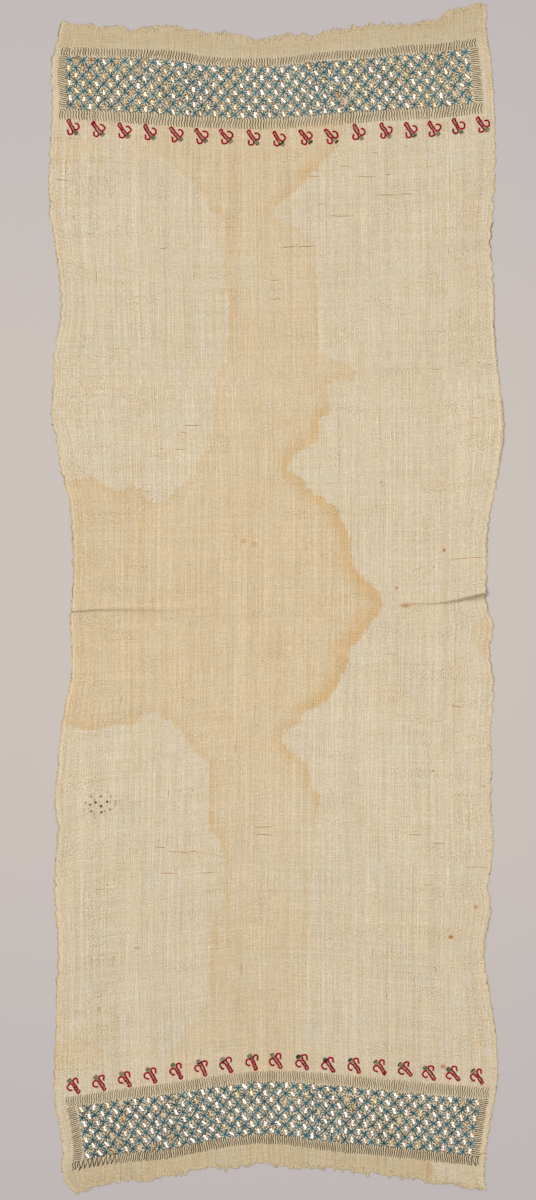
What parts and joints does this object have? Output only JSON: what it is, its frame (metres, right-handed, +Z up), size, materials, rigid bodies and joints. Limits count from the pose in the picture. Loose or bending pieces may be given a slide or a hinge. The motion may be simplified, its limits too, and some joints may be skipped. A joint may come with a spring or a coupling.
{
  "type": "embroidered silk scarf laid flat",
  "caption": "Long silk gauze scarf laid flat, with raw ends, a storage crease across its middle, star bands in ladder borders and rows of small sprigs embroidered at both ends.",
  "frame": {"origin": "below the middle of the scarf's outline, on the surface that it lies on", "axes": "+X across the cloth to the right selvedge, +Y along the cloth to the top raw end, +Z up from the surface"},
  "size_m": [0.4985, 1.3056, 0.0058],
  "materials": {
    "ecru_gauze": "unbleached silk gauze, slubby, water stained, low sheen",
    "blue_silk": "floss silk embroidery, soft sheen",
    "tan_silk": "floss silk embroidery, soft sheen",
    "silver_strip": "flat silvered metal strip, hammered and partly tarnished",
    "ladder_thread": "drawn ladder work wrapped with tarnished metal thread",
    "crimson_silk": "floss silk embroidery, soft sheen"
  },
  "bodies": {
    "root": {"ground_cloth": "ecru_gauze", "top_star_field": "blue_silk", "top_border_outer": "ladder_thread", "top_border_inner": "ladder_thread", "top_border_left": "ladder_thread", "top_border_right": "ladder_thread", "bottom_star_field": "blue_silk", "bottom_border_outer": "ladder_thread", "bottom_border_inner": "ladder_thread", "bottom_border_left": "ladder_thread", "bottom_border_right": "ladder_thread", "top_sprig_01": "crimson_silk", "top_sprig_02": "crimson_silk", "top_sprig_03": "crimson_silk", "top_sprig_04": "crimson_silk", "top_sprig_05": "crimson_silk", "top_sprig_06": "crimson_silk", "top_sprig_07": "crimson_silk", "top_sprig_08": "crimson_silk", "top_sprig_09": "crimson_silk", "top_sprig_10": "crimson_silk", "top_sprig_11": "crimson_silk", "top_sprig_12": "crimson_silk", "top_sprig_13": "crimson_silk", "top_sprig_14": "crimson_silk", "top_sprig_15": "crimson_silk", "top_sprig_16": "crimson_silk", "top_sprig_17": "crimson_silk", "bottom_sprig_01": "crimson_silk", "bottom_sprig_02": "crimson_silk", "bottom_sprig_03": "crimson_silk", "bottom_sprig_04": "crimson_silk", "bottom_sprig_05": "crimson_silk", "bottom_sprig_06": "crimson_silk", "bottom_sprig_07": "crimson_silk", "bottom_sprig_08": "crimson_silk", "bottom_sprig_09": "crimson_silk", "bottom_sprig_10": "crimson_silk", "bottom_sprig_11": "crimson_silk", "bottom_sprig_12": "crimson_silk", "bottom_sprig_13": "crimson_silk", "bottom_sprig_14": "crimson_silk", "bottom_sprig_15": "crimson_silk", "bottom_sprig_16": "crimson_silk", "bottom_sprig_17": "crimson_silk"}
  },
  "joints": []
}
